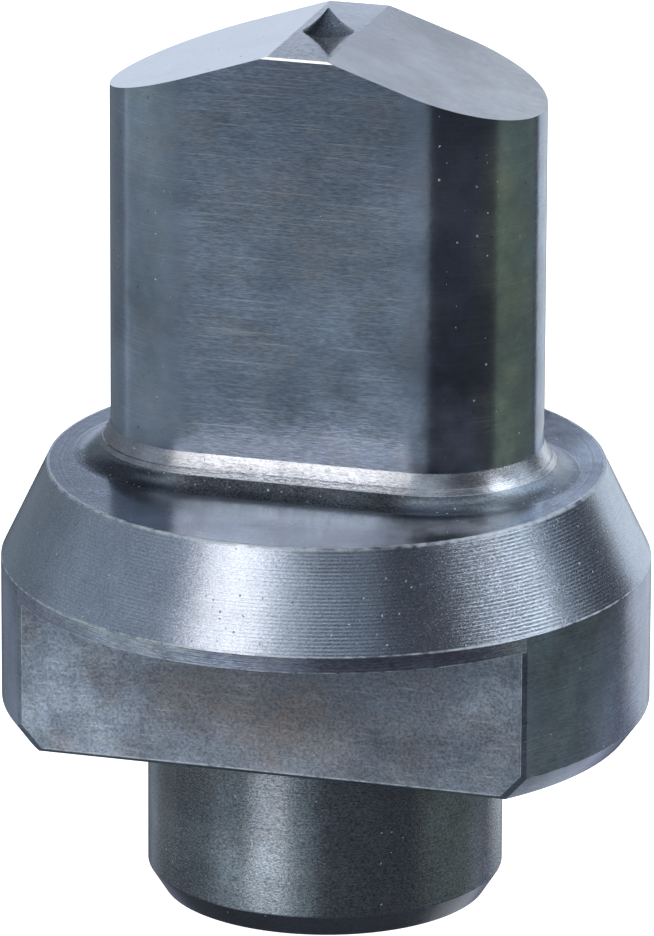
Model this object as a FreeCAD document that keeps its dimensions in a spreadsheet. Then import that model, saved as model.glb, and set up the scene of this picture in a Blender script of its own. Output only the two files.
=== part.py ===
import FreeCAD, Part
import math
import os

import Sketcher

# Punch for oblong holes, turned and milled from one bar of tool steel.
# Millimetres, +Z up towards the cutting end. The origin is the centre of the spigot's end face,
# X runs along the oblong and -Y looks out of the flat on the collar.

PART_NAME = "oblong_punch"

# Driving dimensions: alias, value, what it measures.
SIZES = [
    ("hole_length", 20.0, "oblong end to end"),
    ("hole_width", 10.0, "oblong across the ground flats"),
    ("blade_height", 20.1, "collar's top face to the strip on the roof"),
    ("roof_angle", 18.5, "fall of each roof slope in degrees"),
    ("strip_width", 2.75, "level strip between the slopes"),
    ("pip_dia", 2.3, "centring pip at its base"),
    ("pip_height", 1.05, "pip above the strip"),
    ("pip_tip_dia", 0.08, "worn point of the pip"),
    ("pip_flank_radius", 1.5, "hollow flank of the pip"),
    ("pip_root", 0.3, "how far the pip's core reaches into the blade"),
    ("foot_radius", 1.7, "hollow round the blade's foot, down to the collar's top face"),
    ("collar_dia", 29.5, "cylindrical band of the collar"),
    ("band_height", 7.75, "collar's seat to the lower edge of its cone"),
    ("cone_height", 4.4, "cone on top of the collar"),
    ("cone_top_dia", 25.3, "upper edge of the cone"),
    ("collar_lead", 0.8, "bevel round the seat, inwards"),
    ("collar_lead_height", 1.1, "bevel round the seat, upwards"),
    ("flat_distance", 8.85, "axis to the flat on the collar"),
    ("flat_ledge_drop", 0.7, "lower edge of the cone down to the ledge over the flat"),
    ("flat_side_break", 0.2, "broken upright edges of the flat"),
    ("flat_bottom_break", 0.3, "broken lower edges of the flat"),
    ("spigot_dia", 16.2, "spigot under the collar"),
    ("spigot_length", 8.0, "spigot's end to the collar's seat"),
    ("spigot_lead", 0.7, "bevel round the spigot's end, inwards"),
    ("spigot_lead_height", 1.1, "bevel round the spigot's end, upwards"),
    ("cut_margin", 2.0, "how far each cut runs past the steel"),
]
SIZE = {alias: value for alias, value, meaning in SIZES}

# Heights and half widths that follow from the sizes, as formulas of the sheet.
SEAT_Z = "sizes.spigot_length"
LEDGE_Z = "sizes.spigot_length + sizes.band_height - sizes.flat_ledge_drop"
CONE_Z = "sizes.spigot_length + sizes.band_height"
COLLAR_TOP_Z = "sizes.spigot_length + sizes.band_height + sizes.cone_height"
STRIP_Z = COLLAR_TOP_Z + " + sizes.blade_height"
CENTRE_X = "(sizes.hole_length - sizes.hole_width) / 2"
HALF_WIDTH = "sizes.hole_width / 2"
SLOPE_END_X = "sizes.hole_length / 2 + sizes.cut_margin"
SLOPE_END_Z = (
    STRIP_Z + " - (" + SLOPE_END_X + " - sizes.strip_width / 2) * tan(sizes.roof_angle * 1 deg)"
)


def value_of(formula):
    """Number that a formula of the sheet gives, to draw a sketch near its solution."""
    total = doc.sizes.evalExpression(formula.replace("sizes.", ""))
    return float(getattr(total, "Value", total))


def make_sheet():
    sheet = doc.addObject("Spreadsheet::Sheet", "sizes")
    for row, (alias, value, meaning) in enumerate(SIZES, start=1):
        sheet.set(f"A{row}", alias)
        sheet.set(f"B{row}", str(value))
        sheet.set(f"C{row}", meaning)
        sheet.setAlias(f"B{row}", alias)
    doc.recompute()


def origin_plane(role):
    for feature in body.Origin.OriginFeatures:
        if feature.Role == role:
            return feature
    raise LookupError(role)


def new_sketch(name, role, height=None):
    """Sketch on one of the body's own planes, raised by a formula where height is given."""
    sketch = body.newObject("Sketcher::SketchObject", name)
    sketch.AttachmentSupport = [(origin_plane(role), "")]
    sketch.MapMode = "FlatFace"
    if height:
        sketch.setExpression("AttachmentOffset.Base.z", height)
    return sketch


def drive(sketch, label, kind, where, formula):
    """One sketch dimension that follows a formula of the sheet."""
    index = sketch.addConstraint(Sketcher.Constraint(kind, *where, value_of(formula)))
    sketch.renameConstraint(index, label)
    sketch.setExpression("Constraints." + label, formula)


def place_point(sketch, line, end, label, x_formula, y_formula):
    """Fix one end of a line by its two distances from the sketch's origin."""
    for kind, axis, formula in (("DistanceX", -2, x_formula), ("DistanceY", -1, y_formula)):
        if formula is None:
            sketch.addConstraint(Sketcher.Constraint("PointOnObject", line, end, axis))
        else:
            drive(sketch, label + kind[-1], kind, (-1, 1, line, end), formula)


def draw_profile(sketch, corners):
    """Closed profile through corners, each a pair of formulas. None puts a corner on that axis."""
    spots = []
    for x_formula, y_formula in corners:
        x = value_of(x_formula) if x_formula else 0.0
        y = value_of(y_formula) if y_formula else 0.0
        spots.append(FreeCAD.Vector(x, y, 0))
    count = len(spots)
    for i in range(count):
        sketch.addGeometry(Part.LineSegment(spots[i], spots[(i + 1) % count]), False)
    for i in range(count):
        sketch.addConstraint(Sketcher.Constraint("Coincident", i, 2, (i + 1) % count, 1))
    for i, (x_formula, y_formula) in enumerate(corners):
        place_point(sketch, i, 1, f"corner{i}", x_formula, y_formula)


def draw_oblong(sketch):
    """The blade's outline: two half rounds joined by two flats."""
    radius = value_of(HALF_WIDTH)
    centre = value_of(CENTRE_X)
    up = FreeCAD.Vector(0, 0, 1)
    quarter = math.pi / 2
    right = Part.Circle(FreeCAD.Vector(centre, 0, 0), up, radius)
    left = Part.Circle(FreeCAD.Vector(-centre, 0, 0), up, radius)
    corner = [FreeCAD.Vector(x, y, 0) for x in (centre, -centre) for y in (radius, -radius)]
    sketch.addGeometry(Part.ArcOfCircle(right, -quarter, quarter), False)
    sketch.addGeometry(Part.LineSegment(corner[0], corner[2]), False)
    sketch.addGeometry(Part.ArcOfCircle(left, quarter, 3 * quarter), False)
    sketch.addGeometry(Part.LineSegment(corner[3], corner[1]), False)
    for here, there in ((0, 1), (1, 2), (2, 3), (3, 0)):
        sketch.addConstraint(Sketcher.Constraint("Tangent", here, 2, there, 1))
    sketch.addConstraint(Sketcher.Constraint("PointOnObject", 0, 3, -1))
    sketch.addConstraint(Sketcher.Constraint("Symmetric", 2, 3, 0, 3, -1, 1))
    drive(sketch, "round", "Radius", (0,), HALF_WIDTH)
    drive(sketch, "spread", "DistanceX", (2, 3, 0, 3), "2 * " + CENTRE_X)


def add_feature(kind, name, profile, **settings):
    feature = body.newObject("PartDesign::" + kind, name)
    feature.Profile = profile
    profile.Visibility = False
    for key, value in settings.items():
        setattr(feature, key, value)
    return feature


def turn_body():
    """Spigot and collar, turned as one profile about the axis."""
    sketch = new_sketch("turned_profile", "XZ_Plane")
    draw_profile(sketch, [
        (None, None),
        ("sizes.spigot_dia / 2 - sizes.spigot_lead", None),
        ("sizes.spigot_dia / 2", "sizes.spigot_lead_height"),
        ("sizes.spigot_dia / 2", SEAT_Z),
        ("sizes.collar_dia / 2 - sizes.collar_lead", SEAT_Z),
        ("sizes.collar_dia / 2", SEAT_Z + " + sizes.collar_lead_height"),
        ("sizes.collar_dia / 2", CONE_Z),
        ("sizes.cone_top_dia / 2", COLLAR_TOP_Z),
        (None, COLLAR_TOP_Z),
    ])
    add_feature("Revolution", "turned", sketch, ReferenceAxis=(sketch, ["V_Axis"]), Angle=360.0)
    doc.recompute()


def mill_flat():
    """Orientation flat, milled from below up to a ledge that leaves the cone's foot round."""
    sketch = new_sketch("flat_outline", "XY_Plane")
    side = "sizes.collar_dia / 2 + sizes.cut_margin"
    draw_profile(sketch, [
        ("-(" + side + ")", "-(" + side + ")"),
        (side, "-(" + side + ")"),
        (side, "-sizes.flat_distance"),
        ("-(" + side + ")", "-sizes.flat_distance"),
    ])
    cut = add_feature("Pocket", "flat_cut", sketch, Type="Length", Reversed=True)
    cut.setExpression("Length", LEDGE_Z)
    doc.recompute()


def dress_edges(kind, name, keep, length, formula):
    """Bevel or round every edge of the solid so far for which keep is true."""
    solid = body.Tip
    chosen = [f"Edge{i}" for i, edge in enumerate(solid.Shape.Edges, start=1) if keep(edge)]
    if not chosen:
        raise RuntimeError(name + " found no edge")
    feature = body.newObject("PartDesign::" + kind, name)
    feature.Base = (solid, chosen)
    feature.setExpression(length, formula)
    doc.recompute()


def on_flat(edge):
    front = -SIZE["flat_distance"]
    return all(abs(vertex.Y - front) < 1e-4 for vertex in edge.Vertexes)


def heights(edge):
    return [vertex.Z for vertex in edge.Vertexes]


def break_flat_edges():
    """Hand-broken edges down both sides and along the bottom of the flat."""
    ledge = value_of(LEDGE_Z)
    lead_top = value_of(SEAT_Z + " + sizes.collar_lead_height")

    def is_lower(edge):
        return on_flat(edge) and max(heights(edge)) < lead_top + 1e-4

    def is_side(edge):
        return on_flat(edge) and max(heights(edge)) > ledge - 1e-4 > min(heights(edge)) + 1e-3

    dress_edges("Chamfer", "flat_lower_edges", is_lower, "Size", "sizes.flat_bottom_break")
    dress_edges("Chamfer", "flat_side_edges", is_side, "Size", "sizes.flat_side_break")


def raise_blade():
    """Oblong blade on the collar, with a hollow round its foot."""
    sketch = new_sketch("blade_outline", "XY_Plane", COLLAR_TOP_Z)
    draw_oblong(sketch)
    blade = add_feature("Pad", "blade", sketch, Type="Length")
    blade.setExpression("Length", "sizes.blade_height")
    doc.recompute()
    floor = value_of(COLLAR_TOP_Z)
    reach = value_of("sizes.hole_length / 2")

    def is_root(edge):
        level = all(abs(z - floor) < 1e-4 for z in heights(edge))
        return level and all(abs(vertex.X) < reach + 1e-4 for vertex in edge.Vertexes)

    dress_edges("Fillet", "foot", is_root, "Radius", "sizes.foot_radius")


def mill_roof():
    """Roof shear: two slopes that leave a level strip across the middle."""
    sketch = new_sketch("roof_outline", "XZ_Plane")
    top = STRIP_Z + " + sizes.cut_margin"
    draw_profile(sketch, [
        ("sizes.strip_width / 2", STRIP_Z),
        (SLOPE_END_X, SLOPE_END_Z),
        (SLOPE_END_X, top),
        ("-(" + SLOPE_END_X + ")", top),
        ("-(" + SLOPE_END_X + ")", SLOPE_END_Z),
        ("-sizes.strip_width / 2", STRIP_Z),
    ])
    cut = add_feature("Pocket", "roof_cut", sketch, Type="Length", Midplane=True)
    cut.setExpression("Length", "sizes.hole_width + 2 * sizes.cut_margin")
    doc.recompute()


def turn_pip():
    """Centring pip with hollow flanks, left standing in the middle of the strip."""
    sketch = new_sketch("pip_profile", "XZ_Plane")
    top = STRIP_Z + " + sizes.pip_height"
    foot = FreeCAD.Vector(value_of("sizes.pip_dia / 2"), value_of(STRIP_Z), 0)
    tip = FreeCAD.Vector(value_of("sizes.pip_tip_dia / 2"), value_of(top), 0)
    root = value_of(STRIP_Z + " - sizes.pip_root")
    chord = tip - foot
    radius = SIZE["pip_flank_radius"]
    sideways = FreeCAD.Vector(-chord.y, chord.x, 0).normalize()
    away = math.sqrt(radius ** 2 - (chord.Length / 2) ** 2)
    centre = foot + chord * 0.5 - sideways * away
    start = math.atan2(tip.y - centre.y, tip.x - centre.x)
    end = math.atan2(foot.y - centre.y, foot.x - centre.x)
    circle = Part.Circle(centre, FreeCAD.Vector(0, 0, 1), radius)
    spots = [FreeCAD.Vector(0, tip.y, 0), FreeCAD.Vector(0, root, 0), FreeCAD.Vector(foot.x, root, 0)]
    sketch.addGeometry(Part.LineSegment(spots[0], spots[1]), False)
    sketch.addGeometry(Part.LineSegment(spots[1], spots[2]), False)
    sketch.addGeometry(Part.LineSegment(spots[2], foot), False)
    sketch.addGeometry(Part.ArcOfCircle(circle, start, end), False)
    sketch.addGeometry(Part.LineSegment(tip, spots[0]), False)
    joins = ((0, 2, 1, 1), (1, 2, 2, 1), (2, 2, 3, 2), (3, 1, 4, 1), (4, 2, 0, 1))
    for join in joins:
        sketch.addConstraint(Sketcher.Constraint("Coincident", *join))
    place_point(sketch, 0, 1, "tip", None, top)
    place_point(sketch, 0, 2, "root", None, STRIP_Z + " - sizes.pip_root")
    sketch.addConstraint(Sketcher.Constraint("Horizontal", 1))
    sketch.addConstraint(Sketcher.Constraint("Vertical", 2))
    sketch.addConstraint(Sketcher.Constraint("Horizontal", 4))
    place_point(sketch, 2, 2, "base", "sizes.pip_dia / 2", STRIP_Z)
    drive(sketch, "point", "DistanceX", (-1, 1, 4, 1), "sizes.pip_tip_dia / 2")
    drive(sketch, "hollow", "Radius", (3,), "sizes.pip_flank_radius")
    add_feature("Revolution", "pip", sketch, ReferenceAxis=(sketch, ["V_Axis"]), Angle=360.0)
    doc.recompute()


def check_model():
    """Stop on any failed object, and on a cut that removed nothing."""
    for item in doc.Objects:
        if "Invalid" in item.State or "Error" in item.State:
            raise RuntimeError(item.Name + " failed: " + str(item.State))
    shape = body.Shape
    if shape.isNull() or not shape.isValid() or len(shape.Solids) != 1:
        raise RuntimeError(PART_NAME + " is not one valid solid")
    for before, after in (("turned", "flat_cut"), ("foot", "roof_cut")):
        gone = doc.getObject(before).Shape.Volume - doc.getObject(after).Shape.Volume
        if gone < 1.0:
            raise RuntimeError(after + " removed nothing")
        print(after, "removed", round(gone, 2), "mm3")


doc = FreeCAD.newDocument("oblong_punch")
make_sheet()
body = doc.addObject("PartDesign::Body", PART_NAME)
body.Label = PART_NAME
turn_body()
mill_flat()
break_flat_edges()
raise_blade()
mill_roof()
turn_pip()
body.Placement = FreeCAD.Placement()
doc.recompute()
check_model()

os.makedirs("parts", exist_ok=True)
body.Shape.exportStep("parts/" + body.Label + ".step")
box = body.Shape.BoundBox
print(PART_NAME, "volume", round(body.Shape.Volume, 1), "mm3")
print("box", [round(v, 3) for v in (box.XMin, box.XMax, box.YMin, box.YMax, box.ZMin, box.ZMax)])
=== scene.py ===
import math
import random
import bpy
import bmesh
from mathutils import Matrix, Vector


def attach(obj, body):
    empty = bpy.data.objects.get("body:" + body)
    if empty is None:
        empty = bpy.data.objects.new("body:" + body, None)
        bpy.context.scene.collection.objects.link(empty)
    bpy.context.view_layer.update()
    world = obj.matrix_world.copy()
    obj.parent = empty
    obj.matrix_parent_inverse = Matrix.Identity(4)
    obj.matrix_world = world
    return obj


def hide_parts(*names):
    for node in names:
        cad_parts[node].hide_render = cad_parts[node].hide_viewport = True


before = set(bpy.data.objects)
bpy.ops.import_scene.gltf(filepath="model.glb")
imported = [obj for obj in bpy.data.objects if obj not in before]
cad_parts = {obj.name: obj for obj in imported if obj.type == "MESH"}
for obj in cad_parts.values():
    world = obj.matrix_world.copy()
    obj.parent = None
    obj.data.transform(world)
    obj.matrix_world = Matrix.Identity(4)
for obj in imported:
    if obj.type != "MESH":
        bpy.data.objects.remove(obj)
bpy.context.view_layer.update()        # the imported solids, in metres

mm = 0.001
snap = 1e-8              # anything nearer than this counts as the same place
onPlane = snap * 10      # a place this near to a plane counts as on it
margin = 1e-4            # mm: how far inside a region the middle of its faces lies


# Shapes: every size is in mm, heights are from the end of the spigot

blankSizes = {
    "aroundSteps": 256,
    "spigotRadius": 8.1,
    "spigotLead": 0.7,
    "spigotLeadHeight": 1.1,
    "seatHeight": 8.0,
    "collarRadius": 14.75,
    "collarLead": 0.8,
    "collarLeadHeight": 1.1,
    "coneFoot": 15.75,
    "coneTop": 20.15,
    "coneTopRadius": 12.65,
    "grooves": 29,           # feed marks left by the turning tool on the cone
    "grooveDepth": 0.0062,
    "grooveSpread": (0.92, 1.1),     # how the depth varies from mark to mark
    "grooveSeed": 5,
    "stepsPerGroove": 4,
    "edgeSoftness": 0.035,
    "rimSoftness": 0.06,     # where the cone meets the top
    "softSteps": 3,
    "topBorder": 0.25,       # the outermost part of the top; the blade's foot is joined to it
}


def turnBlank(bm):
    s = blankSizes
    collar = s["collarRadius"]
    profile = [
        (s["spigotRadius"] - s["spigotLead"], 0),
        (s["spigotRadius"], s["spigotLeadHeight"]),
        (s["spigotRadius"], s["seatHeight"]),
        (collar - s["collarLead"], s["seatHeight"]),
        (collar, s["seatHeight"] + s["collarLeadHeight"]),
        (collar, s["coneFoot"]),
        (s["coneTopRadius"], s["coneTop"]),
        (s["coneTopRadius"] - s["topBorder"], s["coneTop"]),
    ]
    points = [bm.verts.new((radius * mm, 0, height * mm)) for radius, height in profile]
    edges = [bm.edges.new(pair) for pair in zip(points, points[1:])]
    # feed marks: the cone's line is divided, and what lies between two ridges is sunk
    cone = edges[5]
    foot, top = points[5].co.copy(), points[6].co.copy()
    inward = Vector((foot.z - top.z, 0, top.x - foot.x)).normalized()
    corners = [points[i].co.copy() for i in (0, 1, 3, 4, 5, 6)]
    cuts = s["grooves"] * s["stepsPerGroove"] - 1
    split = bmesh.ops.subdivide_edges(bm, edges=[cone], cuts=cuts)
    inner = sorted(split["geom_inner"], key=lambda v: v.co.z)
    tool = random.Random(s["grooveSeed"])
    for index, vert in enumerate(inner, start=1):
        step = index % s["stepsPerGroove"]
        along = step / s["stepsPerGroove"]
        if step == 1:
            deep = tool.uniform(*s["grooveSpread"])
        if step:
            vert.co += inward * s["grooveDepth"] * mm * 4 * along * (1 - along) * deep
    # corners are very slightly worn
    for some, softness in ((corners[:-1], s["edgeSoftness"]), (corners[-1:], s["rimSoftness"])):
        worn = [min(bm.verts, key=lambda v: (v.co - corner).length) for corner in some]
        bmesh.ops.bevel(bm, geom=worn, offset=softness * mm, offset_type="OFFSET",
                        segments=s["softSteps"], profile=0.5, affect="VERTICES", material=-1)
    bmesh.ops.spin(bm, geom=bm.verts[:] + bm.edges[:], cent=(0, 0, 0), axis=(0, 0, 1),
                   angle=math.tau, steps=s["aroundSteps"], use_merge=True)
    bmesh.ops.remove_doubles(bm, verts=bm.verts[:], dist=snap)
    endRim = [e for e in bm.edges if e.is_boundary and max(v.co.z for v in e.verts) < snap]
    bmesh.ops.edgeloop_fill(bm, edges=endRim)


flatSizes = {
    "distance": 8.85,        # from the centre line to the flat
    "ledge": 15.05,          # where the cutter stopped below the cone
    "sideBreak": 0.14,
    "bottomBreak": 0.17,
}


def shave(bm, point, normal, within):
    # cuts the faces that within allows by a plane, takes what is outside, and closes the cut
    point, normal = Vector(point) * mm, Vector(normal).normalized()
    faces = [f for f in bm.faces if within(f)]
    edges = {e for f in faces for e in f.edges}
    verts = {v for f in faces for v in f.verts}
    cut = bmesh.ops.bisect_plane(bm, geom=faces + list(edges) + list(verts), dist=snap,
                                 plane_co=point, plane_no=normal)
    rim = {e for e in cut["geom_cut"] if isinstance(e, bmesh.types.BMEdge)}
    outside = [f for f in bm.faces
               if within(f) and (f.calc_center_median() - point).dot(normal) > onPlane]
    bmesh.ops.delete(bm, geom=outside, context="FACES")
    rim = [e for e in rim if e.is_valid and len(e.link_faces) == 1]
    uses = {}
    for edge in rim:
        for vert in edge.verts:
            uses[vert] = uses.get(vert, 0) + 1
    loose = [vert for vert, times in uses.items() if times == 1]
    if loose:
        rim.append(bm.edges.new(loose))
    bmesh.ops.edgeloop_fill(bm, edges=rim)


def millFlat(bm):
    s, b = flatSizes, blankSizes
    front, ledge, seat = -s["distance"], s["ledge"], b["seatHeight"]
    leadTop = seat + b["collarLeadHeight"]
    corner = math.sqrt(b["collarRadius"] ** 2 - front ** 2)
    lowCorner = math.sqrt((b["collarRadius"] - b["collarLead"]) ** 2 - front ** 2)
    bmesh.ops.bisect_plane(bm, geom=bm.verts[:] + bm.edges[:] + bm.faces[:], dist=snap,
                           plane_co=(0, 0, ledge * mm), plane_no=(0, 0, 1))

    def belowLedge(face):
        place = face.calc_center_median() / mm
        return seat - margin < place.z < ledge - margin

    shave(bm, (0, front, seat), (0, -1, 0), belowLedge)
    outward = Vector((corner, front, 0)).normalized()
    shave(bm, (0, front, seat + s["bottomBreak"]), (0, -1, -1), belowLedge)
    for side in (1, -1):
        wall = Vector((outward.x * side, outward.y, 0))
        inset = corner - s["sideBreak"]
        shave(bm, (side * inset, front, seat), wall + Vector((0, -1, 0)), belowLedge)
        leadSlope = b["collarLead"] / b["collarLeadHeight"]
        lead = (wall - Vector((0, 0, leadSlope))).normalized()
        along = Vector((side * (corner - lowCorner), 0, leadTop - seat)).normalized()
        across = along.cross(Vector((0, 1, 0))) * side
        start = Vector((side * lowCorner, front, seat)) + across * s["bottomBreak"]
        shave(bm, start, lead + Vector((0, -1, 0)), belowLedge)
    rim = [e for e in bm.edges
           if len(e.link_faces) == 1 and all(abs(v.co.z - ledge * mm) < onPlane for v in e.verts)]
    bmesh.ops.edgeloop_fill(bm, edges=rim)


bladeSizes = {
    "halfRun": 5.0,          # half of the straight part of the 20 x 10 outline
    "radius": 5.0,
    "roundSteps": 112,
    "runCuts": 15,
    "stripHeight": 40.25,
    "stripWidth": 2.75,
    "roofAngle": 18.5,
    "stripBreak": 0.10,      # how far down the broken edge at each end of the strip goes
    "stripBreakAngle": 24,
    "spare": 5,              # raised this much too high, then sheared
    "clearOfFoot": 2,        # from here up, over the collar's top, there is only the blade
}


footSizes = {
    "reach": 1.7,            # the hollow round the foot starts this far out on the collar's top
    "ring": 0.06,            # a narrow flat ring round that
    "radius": 1.42,
    "hollowSteps": 14,
    # corners up to the blade's wall, left by three passes of the cutter: out from the blade, up
    "corners": [(0.58, 0.55), (0.55, 0.57), (0.40, 0.79), (0.33, 0.79), (0.30, 0.83), (0.0, 1.43)],
}


def addOblong(bm, out, height):
    # one closed outline, standing out from the blade's by out
    s = bladeSizes
    ends = []
    for side in (1, -1):
        centre = (side * s["halfRun"] * mm, 0, height * mm)
        first = bm.verts.new((centre[0], -side * (s["radius"] + out) * mm, centre[2]))
        turned = bmesh.ops.spin(bm, geom=[first], cent=centre, axis=(0, 0, 1),
                                angle=math.pi, steps=s["roundSteps"], use_merge=False)
        ends.append((first, turned["geom_last"][0]))
    runs = [bm.edges.new((ends[0][1], ends[1][0])), bm.edges.new((ends[1][1], ends[0][0]))]
    bmesh.ops.subdivide_edges(bm, edges=runs, cuts=s["runCuts"])


def openRims(bm):
    return [e for e in bm.edges if len(e.link_faces) < 2]


def raiseBlade(bm):
    s, f = bladeSizes, footSizes
    levels = [(f["reach"] + f["ring"], 0)]
    sweep = math.asin((f["reach"] - f["corners"][0][0]) / f["radius"])
    for step in range(f["hollowSteps"]):
        angle = sweep * step / f["hollowSteps"]
        levels.append((f["reach"] - f["radius"] * math.sin(angle), f["radius"] * (1 - math.cos(angle))))
    levels += f["corners"]
    levels.append((0, s["stripHeight"] + s["spare"] - blankSizes["coneTop"]))
    addOblong(bm, levels[0][0], blankSizes["coneTop"])
    rim = openRims(bm)
    for out, lift in levels[1:]:
        risen = bmesh.ops.extrude_edge_only(bm, edges=rim)["geom"]
        for vert in risen:
            if isinstance(vert, bmesh.types.BMVert):
                spine = Vector((max(-s["halfRun"], min(s["halfRun"], vert.co.x / mm)), 0)) * mm
                away = (vert.co.xy - spine).normalized() * (s["radius"] + out) * mm
                vert.co.xy = spine + away
                vert.co.z = (blankSizes["coneTop"] + lift) * mm
        rim = [e for e in risen if isinstance(e, bmesh.types.BMEdge) and len(e.link_faces) == 1]
    bmesh.ops.edgeloop_fill(bm, edges=rim)


def footRim(bm):
    collarTop = blankSizes["coneTop"] * mm
    return [e for e in openRims(bm) if max(v.co.z for v in e.verts) < collarTop + snap]


def joinBlade(bm, blade):
    passing = bpy.data.meshes.new("passing")
    blade.to_mesh(passing)
    bm.from_mesh(passing)
    bpy.data.meshes.remove(passing)
    bmesh.ops.bridge_loops(bm, edges=openRims(bm))


def shearRoof(bm):
    s = bladeSizes
    slope = math.radians(s["roofAngle"])
    strip, half = s["stripHeight"], s["stripWidth"] / 2

    def isBlade(face):
        return face.calc_center_median().z > (blankSizes["coneTop"] + s["clearOfFoot"]) * mm

    for side in (1, -1):
        shave(bm, (side * half, 0, strip), (side * math.sin(slope), 0, math.cos(slope)), isBlade)
    shave(bm, (0, 0, strip), (0, 0, 1), isBlade)
    lean = math.radians(s["stripBreakAngle"])
    for side in (1, -1):
        start = (0, side * s["radius"], strip - s["stripBreak"])
        shave(bm, start, (0, side * math.cos(lean), math.sin(lean)), isBlade)


pipSizes = {
    "radius": 1.15,
    "height": 1.05,
    "tipRadius": 0.04,
    "flankRadius": 4.0,
    "flankSteps": 14,
    "aroundSteps": 96,
    "levelNormal": 0.999,    # a face at least this level is the strip that the pip stands on
}


def turnPip(bm):
    # a hollow-flanked cone, sprung from a round hole in the strip
    s = pipSizes
    base = Vector((s["radius"], 0, bladeSizes["stripHeight"])) * mm
    tip = Vector((s["tipRadius"], 0, bladeSizes["stripHeight"] + s["height"])) * mm
    chord = tip - base
    away = Vector((chord.z, 0, -chord.x)).normalized()
    reach = math.sqrt((s["flankRadius"] * mm) ** 2 - (chord.length / 2) ** 2)
    centre = (base + tip) / 2 + away * reach
    sweep = (base - centre).angle(tip - centre)
    bmesh.ops.spin(bm, geom=[bm.verts.new(base)], cent=centre, axis=(0, 1, 0), angle=sweep,
                   steps=s["flankSteps"], use_merge=False)
    flank = [v for v in bm.verts if not v.link_faces] + [e for e in bm.edges if e.is_wire]
    bmesh.ops.spin(bm, geom=flank, cent=(0, 0, 0), axis=(0, 0, 1), angle=math.tau,
                   steps=s["aroundSteps"], use_merge=True)
    bmesh.ops.remove_doubles(bm, verts=bm.verts[:], dist=snap)
    rims = [e for e in openRims(bm) if e not in footRim(bm)]
    tipRim = [e for e in rims if min(v.co.z for v in e.verts) > (base.z + tip.z) / 2]
    baseRim = [e for e in rims if e not in tipRim]
    bmesh.ops.edgeloop_fill(bm, edges=tipRim)
    bm.normal_update()
    strip = min((f for f in bm.faces if abs(f.normal.z) > s["levelNormal"]),
                key=lambda f: abs(f.calc_center_median().z - base.z) + f.calc_center_median().xy.length)
    edges = list(strip.edges)
    bmesh.ops.delete(bm, geom=[strip], context="FACES_ONLY")
    bmesh.ops.triangle_fill(bm, edges=edges + baseRim, normal=(0, 0, 1))


bm = bmesh.new()
turnBlank(bm)
print("blank turned:", len(bm.faces), "faces")
millFlat(bm)
print("flat milled:", len(bm.faces), "faces")
blade = bmesh.new()
raiseBlade(blade)
shearRoof(blade)
turnPip(blade)
print("blade raised, roof sheared, pip turned:", len(blade.faces), "faces")
joinBlade(bm, blade)
blade.free()
bmesh.ops.remove_doubles(bm, verts=bm.verts[:], dist=snap)
bmesh.ops.recalc_face_normals(bm, faces=bm.faces[:])
openEdges = [e for e in bm.edges if not e.is_manifold]
print("blade joined:", len(bm.faces), "faces,", len(openEdges), "open edges, volume",
      round(bm.calc_volume() / mm ** 3, 1))


# Which finish each surface has, told by where it is and which way it faces

finishNames = [
    "turnedSpigot", "spigotLead", "facedSeat", "turnedBand", "ledgeWall", "groovedCone", "milledFlat",
    "brokenEdge", "facedTop", "footHollow", "footFacets", "groundBlade", "shearedRoof", "roofStrip",
    "turnedPip",
]


tell = {
    "near": 0.01,            # mm: how near to a surface the middle of a face on it is
    "nearFlat": 0.02,
    "nearRim": 0.002,
    "nearTop": 0.004,
    "nearStrip": 0.001,
    "breakFront": 8.4,       # the flat's broken edges are in front of this
    "breakInset": 0.03,      # and this much inside the collar's radius
    "level": 0.999,          # how much of a normal is along an axis
    "square": 0.99,
    "mostly": 0.9,
    "leaning": 0.7,
    "sloping": 0.3,
    "sharpAngle": 15,
}


def finishOf(place, normal):
    b, s, t = blankSizes, bladeSizes, tell
    radius = math.hypot(place.x, place.y)
    if place.z < b["seatHeight"] - t["near"]:
        if normal.z < -t["mostly"]:
            return "facedSeat"
        return "spigotLead" if normal.z < -t["sloping"] else "turnedSpigot"
    if place.z < b["coneTop"] - t["nearRim"] and radius > b["spigotRadius"]:
        onFlat = abs(place.y + flatSizes["distance"]) < t["nearFlat"] and normal.y < -t["square"]
        onLedge = abs(place.z - flatSizes["ledge"]) < t["near"] and normal.z < -t["mostly"]
        if onFlat or onLedge:
            return "milledFlat"
        if normal.z < -t["square"]:
            return "facedSeat"
        insideCollar = radius < b["collarRadius"] - t["breakInset"]
        isBreak = place.y < -t["breakFront"] and place.z < flatSizes["ledge"] and insideCollar
        if isBreak and abs(normal.y) > t["leaning"]:
            return "brokenEdge"
        if place.z > b["coneFoot"] - t["near"]:
            return "groovedCone"
        overFlat = place.y < -flatSizes["distance"] and place.z > flatSizes["ledge"]
        return "ledgeWall" if overFlat else "turnedBand"
    lift = place.z - b["coneTop"]
    if lift < t["nearTop"]:
        return "facedTop"
    if lift < footSizes["corners"][0][1]:
        return "footHollow"
    if lift < footSizes["corners"][-1][1]:
        return "footFacets"
    if radius < pipSizes["radius"] + t["near"] and place.z > s["stripHeight"] + t["nearStrip"]:
        return "turnedPip"
    if normal.z > t["level"]:
        return "roofStrip"
    return "shearedRoof" if normal.z > t["sloping"] else "groundBlade"


sharpAngle = math.radians(tell["sharpAngle"])
for face in bm.faces:
    face.smooth = True
    face.material_index = finishNames.index(finishOf(face.calc_center_median() / mm, face.normal))
pipFinish = finishNames.index("turnedPip")
for edge in bm.edges:
    pipFoot = len([face for face in edge.link_faces if face.material_index == pipFinish]) == 1
    edge.smooth = edge.calc_face_angle(math.pi) < sharpAngle and not pipFoot


# Effects that several finishes use, each a node group

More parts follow.
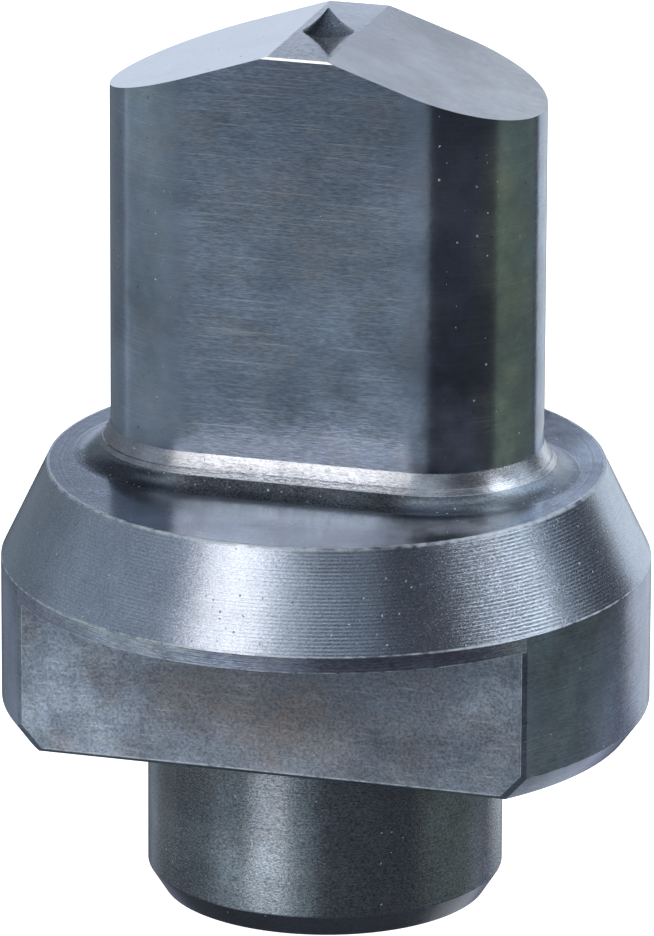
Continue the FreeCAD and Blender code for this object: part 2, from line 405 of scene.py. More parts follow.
def setInputs(tree, node, links):
    for socket, source in links.items():
        if isinstance(source, bpy.types.NodeSocket):
            tree.links.new(source, node.inputs[socket])
        else:
            node.inputs[socket].default_value = source


def put(tree, kind, links=None, **settings):
    made = tree.nodes.new("ShaderNode" + kind)
    for name, value in settings.items():
        setattr(made, name, value)
    setInputs(tree, made, links or {})
    return made


def sums(tree, operation, *values):
    return put(tree, "Math", dict(enumerate(values)), operation=operation).outputs[0]


def vectors(tree, operation, *values):
    return put(tree, "VectorMath", dict(enumerate(values)), operation=operation).outputs


def noise(tree, spot, scale, detail, roughness=0.5):
    links = {"Vector": spot, "Scale": scale, "Detail": detail, "Roughness": roughness}
    return put(tree, "TexNoise", links).outputs


def spread(tree, value, low, high, interpolation="LINEAR"):
    # 0 at low and 1 at high
    links = {"Value": value, "From Min": low, "From Max": high}
    return put(tree, "MapRange", links, interpolation_type=interpolation).outputs[0]


def newEffect(name, inputs, outputs):
    tree = bpy.data.node_groups.new(name, "ShaderNodeTree")
    for label, value in inputs.items():
        kind = "NodeSocketVector" if value is None else "NodeSocketFloat"
        socket = tree.interface.new_socket(name=label, in_out="INPUT", socket_type=kind)
        if value is not None:
            socket.default_value = value
    for label in outputs:
        kind = "NodeSocketVector" if label == "Place" else "NodeSocketFloat"
        tree.interface.new_socket(name=label, in_out="OUTPUT", socket_type=kind)
    return tree, tree.nodes.new("NodeGroupInput").outputs, tree.nodes.new("NodeGroupOutput").inputs


endFade = {"before": 0.7, "after": 1.0}      # mm each side of where the blade's round ends start


def makePlace():
    # object coordinates in mm, the radius from the turning axis, how far out from the blade's wall,
    # and how much the place belongs to the blade's round ends
    labels = ["Place", "Radius", "Height", "Sideways", "Out", "Ends"]
    tree, _, out = newEffect("placeInMm", {}, labels)
    run = bladeSizes["halfRun"]
    spot = put(tree, "TexCoord").outputs["Object"]
    scaled = put(tree, "VectorMath", {0: spot, "Scale": 1 / mm}, operation="SCALE").outputs[0]
    parts = put(tree, "SeparateXYZ", {0: scaled}).outputs
    flatSpot = put(tree, "CombineXYZ", {0: parts[0], 1: parts[1]}).outputs[0]
    radius = vectors(tree, "LENGTH", flatSpot)["Value"]
    along = sums(tree, "ABSOLUTE", parts[0])
    past = sums(tree, "MAXIMUM", sums(tree, "SUBTRACT", along, run), 0.0)
    spineSpot = put(tree, "CombineXYZ", {0: past, 1: parts[1]}).outputs[0]
    spineGap = vectors(tree, "LENGTH", spineSpot)["Value"]
    outward = sums(tree, "SUBTRACT", spineGap, bladeSizes["radius"])
    ends = spread(tree, along, run - endFade["before"], run + endFade["after"], "SMOOTHSTEP")
    for label, source in zip(labels, (scaled, radius, parts[2], parts[0], outward, ends)):
        tree.links.new(source, out[label])
    return tree


turningLook = {
    "driftScale": 0.35,
    "unevenScale": 0.9,
    "unevenDetail": 3.0,
    "unevenRoughness": 0.6,
    "feed": 0.22,            # how much of the steady feed shows beside the uneven lines
}


def makeTurning():
    # fine rings left by a turning tool: a steady feed with uneven lines over it
    look = turningLook
    inputs = {"Across": 0.0, "Place": None, "Pitch": 0.1, "Wander": 0.02}
    tree, given, out = newEffect("turningLines", inputs, ["Lines", "Uneven"])
    drift = noise(tree, given["Place"], look["driftScale"], 1.0)[0]
    drift = sums(tree, "MULTIPLY", sums(tree, "SUBTRACT", drift, 0.5), given["Wander"])
    across = sums(tree, "DIVIDE", sums(tree, "ADD", given["Across"], drift), given["Pitch"])
    wave = sums(tree, "SINE", sums(tree, "MULTIPLY", across, math.tau))
    links = {"W": across, "Scale": look["unevenScale"], "Detail": look["unevenDetail"],
             "Roughness": look["unevenRoughness"]}
    uneven = put(tree, "TexNoise", links, noise_dimensions="1D").outputs[0]
    lines = sums(tree, "MULTIPLY_ADD", wave, look["feed"], uneven)
    tree.links.new(lines, out["Lines"])
    tree.links.new(uneven, out["Uneven"])
    return tree


grainLook = {
    "detail": 3.0,
    "roughness": 0.6,
    "range": (0.3, 0.7),
    "streakShape": (0.06, 0.06, 0.9),        # frequencies beside the grain: far longer, as thick
    "streakDetail": 2.0,
    "streakRoughness": 0.7,
    "streakRange": (0.57, 0.75),
}


def makeGrain():
    # short level scratches of grinding or milling, and a few long light ones among them
    look = grainLook
    inputs = {"Place": None, "Length": 0.3, "Thickness": 0.06}
    tree, given, out = newEffect("cutGrain", inputs, ["Grain", "Streaks"])
    inLength = sums(tree, "DIVIDE", 1.0, given["Length"])
    inThickness = sums(tree, "DIVIDE", 1.0, given["Thickness"])
    stretch = put(tree, "CombineXYZ", {0: inLength, 1: inLength, 2: inThickness}).outputs[0]
    spot = vectors(tree, "MULTIPLY", given["Place"], stretch)[0]
    grain = noise(tree, spot, 1.0, look["detail"], look["roughness"])[0]
    grain = spread(tree, grain, *look["range"])
    drawn = vectors(tree, "MULTIPLY", spot, look["streakShape"])[0]
    streaks = noise(tree, drawn, 1.0, look["streakDetail"], look["streakRoughness"])[0]
    streaks = spread(tree, streaks, *look["streakRange"])
    tree.links.new(grain, out["Grain"])
    tree.links.new(streaks, out["Streaks"])
    return tree


handledLook = {
    "cloud": (0.55, 4.0, 0.6),       # scale, detail and roughness of the noise
    "broad": (0.17, 1.0),
    "cloudRange": (0.35, 0.65),
    "warm": (0.42, 5.0, 0.65),
    "warmShift": (31.0, 17.0, 5.0),  # mm: keeps the warm patches off the clouds
    "warmRange": (0.46, 0.68),
    "ragged": (7.0, 2.0),
    "raggedReach": 0.16,             # mm: how far the outlines of pits and specks stray
    "Pits": (3.6, 0.15),             # cells per mm, and how much sizes vary, in cells
    "Specks": (2.6, 0.12),
    "smallest": 0.35,                # smallest size, as a share of that
    "soft": 0.5,                     # width of the soft rim, likewise
}


def makeHandled():
    # what years of use leave: cloudy shade, warmer patches, small dark pits and bright specks; the specks
    # are also painted glints
    look = handledLook
    inputs = {"Place": None, "Pits": 0.1, "Specks": 0.05}
    tree, given, out = newEffect("handledSteel", inputs, ["Cloud", "Warm", "Pits", "Specks"])
    place = given["Place"]
    cloud = noise(tree, place, *look["cloud"])[0]
    broad = noise(tree, place, *look["broad"])[0]
    cloud = sums(tree, "MULTIPLY_ADD", cloud, 0.5, sums(tree, "MULTIPLY", broad, 0.5))
    cloud = spread(tree, cloud, *look["cloudRange"])
    apart = vectors(tree, "ADD", place, look["warmShift"])[0]
    warm = noise(tree, apart, *look["warm"])[0]
    warm = spread(tree, warm, *look["warmRange"])
    ragged = noise(tree, place, *look["ragged"])["Color"]
    reach = {0: ragged, "Scale": look["raggedReach"]}
    ragged = put(tree, "VectorMath", reach, operation="SCALE").outputs[0]
    spot = vectors(tree, "ADD", place, ragged)[0]
    for label in ("Pits", "Specks"):
        scale, large = look[label]
        cells = put(tree, "TexVoronoi", {"Vector": spot, "Scale": scale}).outputs
        chance = put(tree, "SeparateColor", {0: cells["Color"]}).outputs
        reach = sums(tree, "MULTIPLY_ADD", chance[1], large, large * look["smallest"])
        inside = sums(tree, "SUBTRACT", reach, cells["Distance"])
        inside = spread(tree, inside, 0.0, large * look["soft"])
        picked = sums(tree, "LESS_THAN", chance[0], given[label])
        tree.links.new(sums(tree, "MULTIPLY", inside, picked), out[label])
    tree.links.new(cloud, out["Cloud"])
    tree.links.new(warm, out["Warm"])
    return tree


wearAndHighlightLook = {"scale": 2.2, "detail": 3.0, "range": (0.35, 0.6)}       # what breaks the line up


def makeEdgeWearAndHighlight():
    # a bright, broken line along an edge, worn steel where it has been knocked and a painted highlight:
    # Gap is the distance from the edge in mm
    look = wearAndHighlightLook
    inputs = {"Gap": 1.0, "Width": 0.06, "Place": None}
    tree, given, out = newEffect("wornEdgeAndHighlight", inputs, ["Worn"])
    near = spread(tree, sums(tree, "ABSOLUTE", given["Gap"]), given["Width"], 0.0, "SMOOTHSTEP")
    breakup = noise(tree, given["Place"], look["scale"], look["detail"])[0]
    breakup = spread(tree, breakup, *look["range"])
    tree.links.new(sums(tree, "MULTIPLY", near, breakup), out["Worn"])
    return tree


effects = {
    "place": makePlace(),
    "turning": makeTurning(),
    "grain": makeGrain(),
    "handled": makeHandled(),
    "wearAndHighlight": makeEdgeWearAndHighlight(),
}
print("effects made:", ", ".join(effects))


# Finishes, with lengths in mm
# colour: how much the bare steel reflects; wave: height of the unevenness that bends reflections
# grain: length, thickness, contrast and height; streaks: strength of the long light scratches
# turning: what the rings run across, their pitch and height
# cloud, warm, pits, specks: how much of each the handling has left; the bright specks are also painted
# glints
# patches: painted light and shade, some of it a brownish darkening: where along the punch and how high,
# half the width and height, strength and tint
# edges: what is measured, where the bright line is, and its half width; the line is worn steel and a
# painted highlight along the edge
# darker and rougher near the blade's foot: where it is full and where it ends, out from the blade, and
# its strength
# ends: what share of the grain is left round the blade's ends, and what share of the colour is
# lost there as painted shade, or gained as painted light if it is below 0

# patch tints: a brownish darkening, painted light and a painted green reflection; then painted shade and
# a deeper painted shade
brown, paintedLight, paintedGreenReflection = (0.80, 0.68, 0.58), (1.7, 1.69, 1.68), (1.35, 1.3, 1.0)
paintedShade, dark = (0.72, 0.72, 0.74), (0.36, 0.37, 0.40)
finishes = {
    "turnedSpigot": {
        "colour": (0.315, 0.325, 0.345), "roughness": 0.18, "wave": 0.005,
        "grain": (0.13, 0.075, 0.52, 0.0036), "turning": ("Height", 0.07, 0.004),
        "cloud": 0.26, "warm": 0.4, "pits": 0.08, "specks": 0.3,
        # painted shadow under the collar and painted shade on the right, a painted highlight, and a
        # painted green reflection on the left
        "paintedLightAndShade": [(6.4, 4.0, 3.0, 9.0, 0.6, paintedShade), (-1.6, 2.4, 1.5, 2.4, 0.3, paintedLight),
                    (-3.2, 7.2, 4.8, 2.6, 1.4, paintedShade), (-4.2, 3.6, 1.6, 9.0, 0.3, paintedShade),
                    (-6.4, 4.0, 1.2, 8.0, 0.4, paintedGreenReflection)],
    },
    "spigotLead": {
        # painted shade: a darker copy of the spigot's steel, for the shade close to the floor
        "colour": (0.22, 0.215, 0.245), "roughness": 0.26, "wave": 0.004,
        "grain": (0.2, 0.06, 0.2, 0.0012), "turning": ("Height", 0.07, 0.002),
        "cloud": 0.2, "warm": 0.2, "pits": 0.05, "specks": 0.1,
        "edges": [("Height", 1.1, 0.03)],
    },
    "facedSeat": {
        "colour": (0.40, 0.43, 0.46), "roughness": 0.24, "wave": 0.003,
        "grain": (0.2, 0.2, 0.2, 0.0012), "turning": ("Radius", 0.11, 0.004),
        "cloud": 0.15, "warm": 0.2, "pits": 0.05, "specks": 0.02,
    },
    "turnedBand": {
        "colour": (0.33, 0.36, 0.465), "roughness": 0.24, "wave": 0.005,
        "grain": (0.3, 0.06, 0.24, 0.0012), "turning": ("Height", 0.095, 0.0035),
        "cloud": 0.28, "warm": 0.6, "pits": 0.05, "specks": 0.3,
        "edges": [("Height", 9.1, 0.03)],
    },
    "ledgeWall": {
        # painted light: the band's turned steel in a lighter colour, with painted light on the left and
        # painted shade further left
        "colour": (0.54, 0.55, 0.66), "roughness": 0.24, "wave": 0.004,
        "grain": (0.3, 0.06, 0.34, 0.0020), "turning": ("Height", 0.095, 0.0035),
        "cloud": 0.2, "warm": 0.4, "pits": 0.1, "specks": 0.4,
        "paintedLightAndShade": [(-2.8, 15.4, 3.6, 1.6, 1.0, paintedLight), (-10.0, 15.4, 3.0, 1.6, 0.7, paintedShade)],
        "edges": [("Height", 15.05, 0.07)],
    },
    "groovedCone": {
        "colour": (0.58, 0.62, 0.70), "roughness": 0.25, "wave": 0.003,
        "grain": (0.12, 0.06, 0.24, 0.0022), "turning": ("Height", 0.031, 0.0005),
        "cloud": 0.14, "warm": 0.12, "pits": 0.05, "specks": 0.45,
        "edges": [("Height", 20.12, 0.14), ("Height", 15.79, 0.06)],
    },
    "milledFlat": {
        "colour": (0.298, 0.314, 0.360), "roughness": 0.42, "wave": 0.010,
        "grain": (0.11, 0.11, 0.40, 0.0050), "streaks": 0.25,
        "cloud": 0.36, "warm": 0.6, "pits": 0.5, "specks": 0.6,
        # painted light at the left and right ends, painted shadow under the ledge and across the middle,
        # and a brownish painted shade
        "paintedLightAndShade": [(-11.4, 11.6, 4.6, 5.0, 0.65, paintedLight), (1.0, 10.8, 3.4, 2.2, 0.8, brown),
                    (-3.6, 11.6, 1.8, 2.0, 0.5, brown), (-7.6, 14.6, 4.0, 1.3, 1.1, paintedShade),
                    (2.2, 14.4, 9.0, 1.5, 1.0, paintedShade), (1.6, 13.0, 6.5, 2.6, 1.3, paintedShade),
                    (10.6, 13.6, 1.6, 2.2, 0.35, paintedLight)],
        "edges": [("Sideways", 11.66, 0.05), ("Sideways", -11.66, 0.05), ("Height", 8.22, 0.05)],
    },
    "brokenEdge": {
        "colour": (0.31, 0.34, 0.40), "roughness": 0.4, "wave": 0.004,
        "grain": (0.3, 0.08, 0.3, 0.002),
        "cloud": 0.3, "warm": 0.3, "pits": 0.15, "specks": 0.2,
    },
    "facedTop": {
        "colour": (0.57, 0.625, 0.71), "roughness": 0.16, "wave": 0.003,
        "grain": (0.12, 0.12, 0.12, 0.0006), "turning": ("Radius", 0.12, 0.00012),
        "cloud": 0.22, "warm": 0.1, "pits": 0.35, "specks": 0.3,
        # painted shade on the right front and on the left, painted light at the right end
        "paintedLightAndShade": [(7.6, 20.15, 2.5, 4.0, 1.3, (0.20, 0.21, 0.23)), (-11.2, 20.15, 3.2, 4.0, 0.9, paintedShade),
                    (11.8, 20.15, 1.6, 4.0, 0.35, paintedLight)],
        "edges": [("Radius", 12.6, 0.10)], "stain": (2.0, 2.8, 0.9),
    },
    "footHollow": {
        # painted shade: the hollow's colour is kept very dark, with a deeper painted shade on the right
        # front; round the ends painted light lifts it
        "colour": (0.14, 0.155, 0.175), "roughness": 0.24, "wave": 0.008,
        "grain": (0.10, 0.08, 0.8, 0.010), "streaks": 0.1,
        "cloud": 0.4, "warm": 0.3, "pits": 0.4, "specks": 1.0, "stain": (0.9, 2.6, 0.4),
        "paintedLightAndShade": [(6.6, 20.6, 3.2, 3.0, 0.65, dark)], "ends": (0.4, -1.1),
    },
    "footFacets": {
        "colour": (0.66, 0.65, 0.68), "roughness": 0.27, "wave": 0.008,
        "grain": (0.24, 0.07, 0.42, 0.004), "streaks": 0.4,
        "cloud": 0.25, "warm": 0.0, "pits": 0.3, "specks": 0.4,
        # a painted highlight at the right end; round the ends painted shade
        "paintedLightAndShade": [(8.6, 21.2, 2.2, 1.6, 1.3, paintedLight)], "ends": (0.5, 0.33),
    },
    "groundBlade": {
        "colour": (0.41, 0.455, 0.535), "roughness": 0.19, "wave": 0.009,
        "grain": (0.34, 0.055, 0.36, 0.0016), "streaks": 0.9,
        "cloud": 0.24, "warm": 0.5, "pits": 0.16, "specks": 0.22,
        # painted shade at the top and along the bottom, painted light low down and at the right end, a
        # painted green reflection on the right, and a brownish darkening
        "paintedLightAndShade": [(2.4, 38.4, 4.8, 3.6, 0.85, paintedShade), (-2.8, 38.5, 3.0, 2.4, 0.25, paintedShade),
                    (1.0, 33.0, 3.6, 3.0, 0.3, brown), (0.0, 21.7, 7.5, 1.0, 0.6, paintedShade),
                    (3.4, 24.4, 3.4, 1.5, 0.28, paintedLight),
                    (7.0, 22.6, 2.2, 3.6, 0.9, paintedLight), (7.0, 31.0, 1.8, 9.0, 0.3, paintedLight),
                    (8.8, 27.5, 0.9, 9.0, 1.0, paintedGreenReflection)],
        "ends": (0.2, 0.07),
    },
    "shearedRoof": {
        "colour": (0.665, 0.645, 0.62), "roughness": 0.14, "wave": 0.0015,
        "grain": (0.35, 0.35, 0.07, 0.0004),
        "cloud": 0.06, "warm": 0.05, "pits": 0.02, "specks": 0.16,
        # painted light on the right of the roof
        "paintedLightAndShade": [(7.0, 38.0, 6.6, 8.0, 0.24, paintedLight)],
    },
    "roofStrip": {
        "colour": (0.95, 0.97, 1.0), "roughness": 0.12, "wave": 0.0008,
        "grain": (0.30, 0.20, 0.07, 0.0003),
        "cloud": 0.12, "warm": 0.05, "pits": 0.1, "specks": 0.5,
    },
    "turnedPip": {
        "colour": (0.115, 0.13, 0.16), "roughness": 0.17, "wave": 0.004,
        "grain": (0.06, 0.10, 0.8, 0.012),
        "cloud": 0.3, "warm": 0.1, "pits": 0.2, "specks": 1.0,
    },
}
warmTint = (1.16, 0.97, 0.84, 1)
pitColour = (0.05, 0.055, 0.065, 1)
nearFootTint = (0.34, 0.32, 0.31, 1)
# light scratches, worn edges and specks take this bright colour; along the edges it also paints
# highlights, in the specks glints
wornAndHighlightColour = (0.95, 0.97, 1.0, 1)
steel = {
    "speckHeight": 0.012,        # mm; lets a speck catch the light from the side
    "grainRoughness": 0.06,      # how much rougher the light grain is than the dark
    "ringShade": (0.5, 0.75),    # the rings' share of the brightness, and the rest
    "streakRoughness": 0.5,
    "patchFade": (1.6, 0.1),     # where it starts and is full: squared, in its own sizes
    "patchCloud": (1.2, 0.2),    # the clouds' share of its strength, and the rest
    "stainStray": 0.5,           # mm: how far the clouds pull the darkening near the foot in
    "stainRoughness": 0.4,
    "pitStrength": 0.8,
    "wornAndHighlightRoughness": 0.65,
}


def mixed(tree, amount, first, second, blend="MIX"):
    made = put(tree, "Mix", {0: amount, 6: first, 7: second}, data_type="RGBA", blend_type=blend)
    return made.outputs[2]


def mixedValue(tree, amount, first, second):
    return put(tree, "Mix", {0: amount, 2: first, 3: second}, data_type="FLOAT").outputs[0]


# paints light and shade into the colour: each patch multiplies it by its tint, fading out from its middle
def addPaintedLightAndShade(tree, colour, place, cloud, paintedLightAndShade):
    for x, z, halfWide, halfTall, strength, tint in paintedLightAndShade:
        x = sums(tree, "DIVIDE", sums(tree, "SUBTRACT", place["Sideways"], x), halfWide)
        z = sums(tree, "DIVIDE", sums(tree, "SUBTRACT", place["Height"], z), halfTall)
        away = sums(tree, "ADD", sums(tree, "MULTIPLY", x, x), sums(tree, "MULTIPLY", z, z))
        near = spread(tree, away, *steel["patchFade"])
        patchy = sums(tree, "MULTIPLY_ADD", cloud, *steel["patchCloud"])
        amount = sums(tree, "MULTIPLY", sums(tree, "MULTIPLY", near, patchy), strength)
        amount = put(tree, "Clamp", {0: amount}).outputs[0]
        colour = mixed(tree, amount, colour, mixed(tree, 1.0, colour, (*tint, 1), "MULTIPLY"))
    return colour


# darkens and roughens the steel near the blade's foot, less round its ends
def addNearFootDark(tree, colour, rough, place, cloud, stain):
    start, end, strength = stain
    ragged = sums(tree, "MULTIPLY_ADD", cloud, steel["stainStray"], place["Out"])
    near = spread(tree, ragged, end, start, "SMOOTHSTEP")
    inFront = sums(tree, "MULTIPLY_ADD", place["Ends"], -strength, strength)
    amount = sums(tree, "MULTIPLY", near, inFront)
    colour = mixed(tree, amount, colour, mixed(tree, 1.0, colour, nearFootTint, "MULTIPLY"))
    return colour, mixedValue(tree, amount, rough, steel["stainRoughness"])


def makeFinish(name, look):
    material = bpy.data.materials.new(name)
    material.use_nodes = True
    tree = material.node_tree
    shader = tree.nodes["Principled BSDF"]
    shader.inputs["Metallic"].default_value = 1.0

    def useEffect(key, links):
        made = tree.nodes.new("ShaderNodeGroup")
        made.node_tree = effects[key]
        setInputs(tree, made, links)
        return made.outputs

    place = useEffect("place", {})
    length, thickness, contrast, deep = look["grain"]
    cut = useEffect("grain", {"Place": place["Place"], "Length": length, "Thickness": thickness})
    used = useEffect("handled", {"Place": place["Place"], "Pits": look["pits"], "Specks": look["specks"]})
    calm, paintedEndShade = look.get("ends", (0, 0))
    grain = cut["Grain"]
    if calm:
        grain = mixedValue(tree, sums(tree, "MULTIPLY", place["Ends"], 1 - calm), grain, 0.5)
    colour = mixed(tree, grain, (*[c * (1 - contrast) for c in look["colour"]], 1),
                   (*[min(1, c * (1 + contrast)) for c in look["colour"]], 1))
    # painted shade round the blade's ends, or painted light where the share is below 0
    if paintedEndShade:
        endShade = sums(tree, "MULTIPLY_ADD", place["Ends"], -paintedEndShade, 1.0)
        colour = mixed(tree, 1.0, colour, endShade, "MULTIPLY")
    change = steel["grainRoughness"]
    rough = sums(tree, "MULTIPLY_ADD", grain, change, look["roughness"] - change / 2)
    height = sums(tree, "MULTIPLY", grain, deep)
    height = sums(tree, "MULTIPLY_ADD", used["Cloud"], look["wave"], height)
    height = sums(tree, "MULTIPLY_ADD", used["Specks"], steel["speckHeight"], height)
    if "turning" in look:
        across, pitch, ridge = look["turning"]
        links = {"Across": place[across], "Place": place["Place"], "Pitch": pitch}
        rings = useEffect("turning", links)
        height = sums(tree, "MULTIPLY_ADD", rings["Lines"], ridge, height)
        ringShade = sums(tree, "MULTIPLY_ADD", rings["Uneven"], *steel["ringShade"])
        colour = mixed(tree, 1.0, colour, ringShade, "MULTIPLY")
    if "streaks" in look:
        streak = sums(tree, "MULTIPLY", cut["Streaks"], look["streaks"])
        if calm:
            fade = sums(tree, "MULTIPLY_ADD", place["Ends"], calm - 1, 1.0)
            streak = sums(tree, "MULTIPLY", streak, fade)
        colour = mixed(tree, streak, colour, wornAndHighlightColour)
        rough = mixedValue(tree, streak, rough, steel["streakRoughness"])
    cloudShade = sums(tree, "MULTIPLY_ADD", used["Cloud"], 2 * look["cloud"], 1 - look["cloud"])
    colour = mixed(tree, 1.0, colour, cloudShade, "MULTIPLY")
    warmth = sums(tree, "MULTIPLY", used["Warm"], look["warm"])
    colour = mixed(tree, warmth, colour, warmTint, "MULTIPLY")
    # painted light and shade
    colour = addPaintedLightAndShade(tree, colour, place, used["Cloud"], look.get("paintedLightAndShade", []))
    if "stain" in look:
        colour, rough = addNearFootDark(tree, colour, rough, place, used["Cloud"], look["stain"])
    pitted = sums(tree, "MULTIPLY", used["Pits"], steel["pitStrength"])
    colour = mixed(tree, pitted, colour, pitColour)
    # bright specks, which are also painted glints, and worn edge lines, which also paint highlights along
    # the edges
    worn = used["Specks"]
    for across, at, width in look.get("edges", []):
        gap = sums(tree, "SUBTRACT", place[across], at)
        line = useEffect("wearAndHighlight", {"Gap": gap, "Width": width, "Place": place["Place"]})["Worn"]
        worn = sums(tree, "MAXIMUM", worn, line)
    colour = mixed(tree, worn, colour, wornAndHighlightColour)
    rough = mixedValue(tree, worn, rough, steel["wornAndHighlightRoughness"])
    tree.links.new(colour, shader.inputs["Base Color"])
    tree.links.new(rough, shader.inputs["Roughness"])
    bump = put(tree, "Bump", {"Height": height, "Distance": mm, "Strength": 1.0})
    tree.links.new(bump.outputs[0], shader.inputs["Normal"])
    return material


mesh = bpy.data.meshes.new("oblongPunch")
bm.to_mesh(mesh)
bm.free()
for name in finishNames:
    mesh.materials.append(makeFinish(name, finishes[name]))
punch = bpy.data.objects.new("oblongPunch", mesh)
bpy.context.scene.collection.objects.link(punch)
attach(punch, "root")
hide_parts("oblong_punch")
print("punch finished:", len(mesh.polygons), "faces,", len(mesh.materials), "finishes")


# Camera: the photograph's own place, worked out from the punch's outline

view = {
    "target": (0.018, 0.0, 19.757),      # mm; the first value is along the picture
    "distance": 442.25,
    "elevation": 18.046,
    "azimuth": 16.406,
    "roll": 0.239,
    "focalPixels": 9778.1,
    "longSidePixels": 936,
    "sensorWidth": 36,
    "clip": (0.01, 20),                  # m
}
azimuth, elevation, roll = (math.radians(view[key]) for key in ("azimuth", "elevation", "roll"))
level = Vector((math.cos(azimuth), math.sin(azimuth), 0))
forward = Vector((math.sin(azimuth), -math.cos(azimuth), 0))     # from the punch towards the camera
backward = forward * math.cos(elevation) + Vector((0, 0, math.sin(elevation)))
upright = backward.cross(level)
right = level * math.cos(roll) + upright * math.sin(roll)
up = upright * math.cos(roll) - level * math.sin(roll)
target = (level * view["target"][0] + Vector((0, 0, view["target"][2]))) * mm

cameraData = bpy.data.cameras.new("camera")
cameraData.sensor_width = view["sensorWidth"]
cameraData.lens = view["focalPixels"] * cameraData.sensor_width / view["longSidePixels"]
cameraData.clip_start, cameraData.clip_end = view["clip"]
camera = bpy.data.objects.new("camera", cameraData)
bpy.context.scene.collection.objects.link(camera)
turn = camera.matrix_world.to_3x3()
turn.col[0], turn.col[1], turn.col[2] = right, up, backward
camera.matrix_world = turn.to_4x4()
camera.location = target + backward * view["distance"] * mm
bpy.context.scene.camera = camera


# Studio: soft boxes and cards, placed by the angle from the camera's own direction

cards = {
    # name: (turn to the right, height angle, width, height in degrees, distance in m, brightness, colour)
    "keyBox": (-38, 29, 23, 25, 0.55, 1.75, (1.00, 0.99, 0.99)),
    "keyEdge": (-17, 19, 18, 26, 0.55, 0.37, (0.98, 1.00, 0.99)),
    "keySkirt": (-35, 44, 90, 18, 0.55, 0.35, (0.70, 0.86, 1.00)),
    "lowCard": (-45, -40, 60, 20, 0.55, 0.59, (0.69, 0.88, 1.00)),
    "lowLeft": (-62, -20, 106, 18, 0.55, 0.31, (0.72, 0.88, 1.00)),
    "leftCard": (-80, -3, 60, 16, 0.55, 0.55, (0.81, 1.00, 0.75)),
    "leftHigh": (-82, 20, 58, 28, 0.55, 0.29, (0.68, 0.82, 1.00)),
    "rearLeft": (-138, 0, 54, 50, 0.55, 0.20, (0.73, 0.88, 1.00)),
    "backCard": (180, 3.2, 28, 28.4, 0.55, 0.96, (0.71, 0.81, 1.00)),
    "backRight": (149, 0, 34, 46, 0.55, 0.85, (0.83, 0.92, 1.00)),
    "backLow": (165, -38, 90, 20, 0.55, 0.21, (0.63, 0.65, 1.00)),
    "greenCard": (95, -20, 56, 22, 0.55, 0.145, (0.74, 1.00, 0.76)),
    "rightStrip": (70, 10, 36, 16, 0.55, 2.08, (0.86, 0.94, 1.00)),
    "rightBox": (80, 42, 22, 16, 0.55, 2.73, (0.83, 0.92, 1.00)),
    "rightWide": (110, 34, 38, 30, 0.55, 0.82, (0.69, 0.86, 1.00)),
    "rearHigh": (155, 30, 50, 14, 0.55, 0.73, (0.69, 0.80, 1.00)),
    "topRight": (45, 63, 110, 22, 0.55, 0.41, (0.68, 0.85, 1.00)),
    "topBack": (138, 60, 64, 18, 0.55, 0.90, (0.85, 0.94, 1.00)),
    "topLeft": (-60, 76, 60, 20, 0.55, 0.38, (0.74, 0.89, 1.00)),
    "overhead": (10, 82, 60, 12, 0.55, 0.95, (0.93, 0.98, 1.00)),
    "tableRight": (146, -46, 44, 20, 0.55, 0.42, (0.90, 1.00, 0.96)),
    "tableCard": (-33, -35, 18, 14, 0.044, 1.40, (0.86, 0.94, 1.00)),
}
for name, (turnRight, height, wide, tall, distance, brightness, colour) in cards.items():
    side, lift = math.radians(turnRight), math.radians(height)
    direction = (forward * math.cos(side) + level * math.sin(side)) * math.cos(lift)
    direction.z = math.sin(lift)
    lamp = bpy.data.lights.new(name, "AREA")
    lamp.shape = "RECTANGLE"
    lamp.size = 2 * distance * math.tan(math.radians(wide / 2))
    lamp.size_y = 2 * distance * math.tan(math.radians(tall / 2))
    lamp.energy = brightness * math.pi * lamp.size * lamp.size_y
    lamp.color = colour
    card = bpy.data.objects.new(name, lamp)
    card.location = target + direction * distance
    card.rotation_euler = direction.to_track_quat("Z", "Y").to_euler()
    card.visible_camera = False
    bpy.context.scene.collection.objects.link(card)

table = {
    # what the pale top under the punch throws back up at it
    "radius": 55,            # mm
    "below": 2,
    "brightness": 0.07,
    "colour": (0.73, 0.90, 1.00),
}
glow = bpy.data.lights.new("tableGlow", "AREA")
glow.shape = "DISK"
glow.size = 2 * table["radius"] * mm
glow.energy = table["brightness"] * math.pi * math.pi * (table["radius"] * mm) ** 2
glow.color = table["colour"]
tableGlow = bpy.data.objects.new("tableGlow", glow)
tableGlow.location = (0, 0, -table["below"] * mm)
tableGlow.rotation_euler = (math.pi, 0, 0)
tableGlow.visible_camera = False
bpy.context.scene.collection.objects.link(tableGlow)

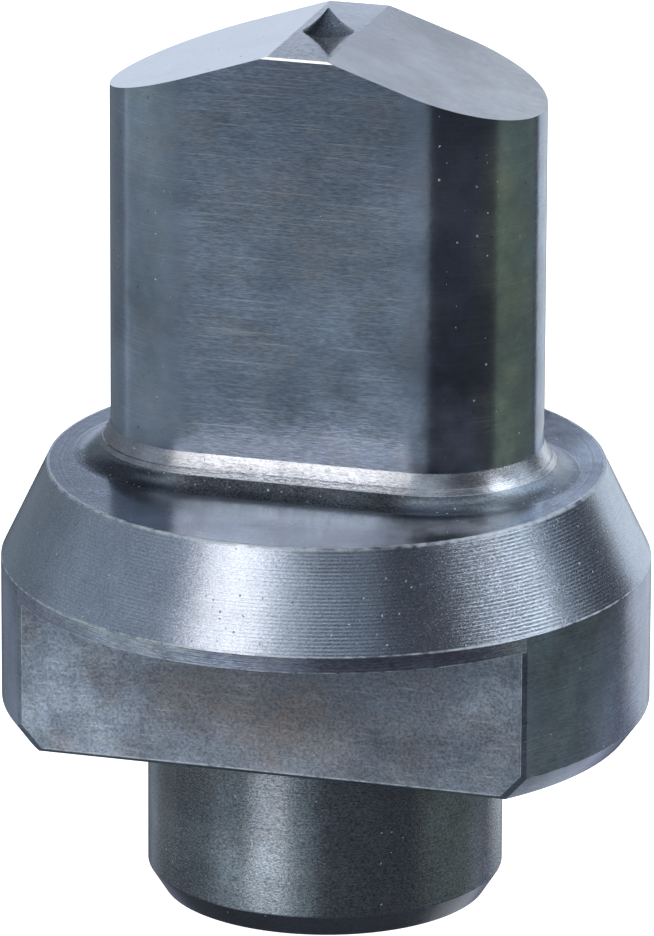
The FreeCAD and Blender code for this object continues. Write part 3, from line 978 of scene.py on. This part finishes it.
room = {
    "dark": (0.042, 0.047, 0.060, 1),    # what the steel mirrors between the cards
    "page": (1, 1, 1, 1),                # what the camera sees behind the punch
    "floorColour": (0.9, 0.9, 0.9, 1),
    "floorRoughness": 0.9,
    "floorGlow": 1.1,
    "floorRadius": 3.0,                  # m
    "floorSteps": 96,
    "floorDrop": 0.02,                   # mm below the punch
}
world = bpy.data.worlds.new("studio")
world.use_nodes = True
bpy.context.scene.world = world
sky = world.node_tree
mirrored = sky.nodes["Background"]
mirrored.inputs["Color"].default_value = room["dark"]
page = put(sky, "Background", {"Color": room["page"], "Strength": 1.0})
ray = put(sky, "LightPath").outputs["Is Camera Ray"]
shown = put(sky, "MixShader", {0: ray, 1: mirrored.outputs[0], 2: page.outputs[0]})
sky.links.new(shown.outputs[0], sky.nodes["World Output"].inputs["Surface"])

floorMaterial = bpy.data.materials.new("paleFloor")
floorMaterial.use_nodes = True
floorTree = floorMaterial.node_tree
floorShader = floorTree.nodes["Principled BSDF"]
floorShader.inputs["Base Color"].default_value = room["floorColour"]
floorShader.inputs["Roughness"].default_value = room["floorRoughness"]
floorShader.inputs["Emission Color"].default_value = room["page"]
floorShader.inputs["Emission Strength"].default_value = room["floorGlow"]
below = put(floorTree, "NewGeometry").outputs["Backfacing"]
clear = put(floorTree, "BsdfTransparent")
oneSided = put(floorTree, "MixShader", {0: below, 1: floorShader.outputs[0], 2: clear.outputs[0]})
floorTree.links.new(oneSided.outputs[0], floorTree.nodes["Material Output"].inputs["Surface"])
floorMesh = bpy.data.meshes.new("floor")
floorBm = bmesh.new()
bmesh.ops.create_circle(floorBm, cap_ends=True, radius=room["floorRadius"],
                        segments=room["floorSteps"])
bmesh.ops.translate(floorBm, verts=floorBm.verts[:], vec=(0, 0, -room["floorDrop"] * mm))
floorBm.to_mesh(floorMesh)
floorBm.free()
floorMesh.materials.append(floorMaterial)
floor = bpy.data.objects.new("floor", floorMesh)
floor.visible_glossy = False
floor.visible_diffuse = False
floor.visible_shadow = False
bpy.context.scene.collection.objects.link(floor)
bpy.context.scene.view_settings.view_transform = "Standard"
print("studio set:", len(cards), "cards")
